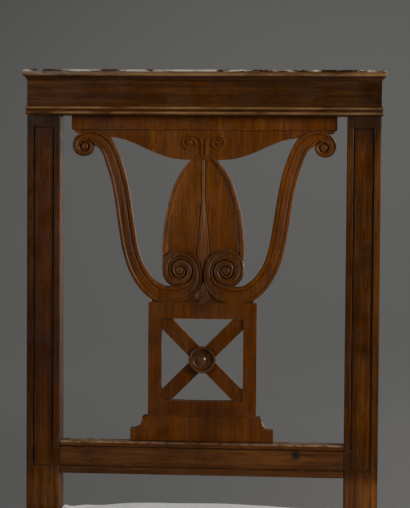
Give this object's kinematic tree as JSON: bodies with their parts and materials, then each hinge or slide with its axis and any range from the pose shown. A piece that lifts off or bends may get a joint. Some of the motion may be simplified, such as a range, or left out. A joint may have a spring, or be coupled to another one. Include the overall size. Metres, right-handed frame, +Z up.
{
  "type": "lyre back chair",
  "caption": "Walnut side chair with a raked open back holding a carved lyre splat over a crossed panel, square tapered front legs and a stuffed cotton-covered seat.",
  "frame": {"origin": "on the floor, under the middle of the chair's outer width and depth", "axes": "+Z up, +X to the right of someone facing the chair's front, +Y towards the chair's back"},
  "size_m": [0.4868, 0.5152, 0.9725],
  "materials": {
    "frame_walnut": "old wax over dark walnut, worn pale on the edges",
    "splat_walnut": "old wax over mid red-brown walnut",
    "seat_rails": "bare secondary wood, sawn and planed",
    "corner_blocks": "bare secondary wood",
    "pegs": "cleft pegs, flush and darkened",
    "screws": "dark iron wood screws",
    "webbing": "woven jute webbing",
    "hessian": "open woven jute cloth",
    "stuffing": "curled hair stuffing",
    "cotton": "off-white plain cotton, soft and matt"
  },
  "bodies": {
    "root": {"back_post_left": "frame_walnut", "back_post_right": "frame_walnut", "crest_rail": "frame_walnut", "crest_cap": "frame_walnut", "lower_back_rail": "frame_walnut", "crest_peg_left": "pegs", "crest_peg_right": "pegs", "lower_rail_peg_left": "pegs", "lower_rail_peg_right": "pegs", "lyre_splat": "splat_walnut", "splat_rosette": "splat_walnut", "splat_plinth": "splat_walnut", "front_leg_left": "frame_walnut", "front_leg_right": "frame_walnut", "front_seat_rail": "seat_rails", "back_seat_rail": "seat_rails", "left_seat_rail": "seat_rails", "right_seat_rail": "seat_rails", "front_left_corner_block": "corner_blocks", "front_left_block_screw_side": "screws", "front_left_block_screw_cross": "screws", "front_right_corner_block": "corner_blocks", "front_right_block_screw_side": "screws", "front_right_block_screw_cross": "screws", "back_left_corner_block": "corner_blocks", "back_left_block_screw_side": "screws", "back_left_block_screw_cross": "screws", "back_right_corner_block": "corner_blocks", "back_right_block_screw_side": "screws", "back_right_block_screw_cross": "screws", "long_web_1": "webbing", "cross_web_1": "webbing", "long_web_2": "webbing", "cross_web_2": "webbing", "long_web_3": "webbing", "cross_web_3": "webbing", "hessian": "hessian", "stuffing": "stuffing", "cotton_cover": "cotton"}
  },
  "joints": []
}
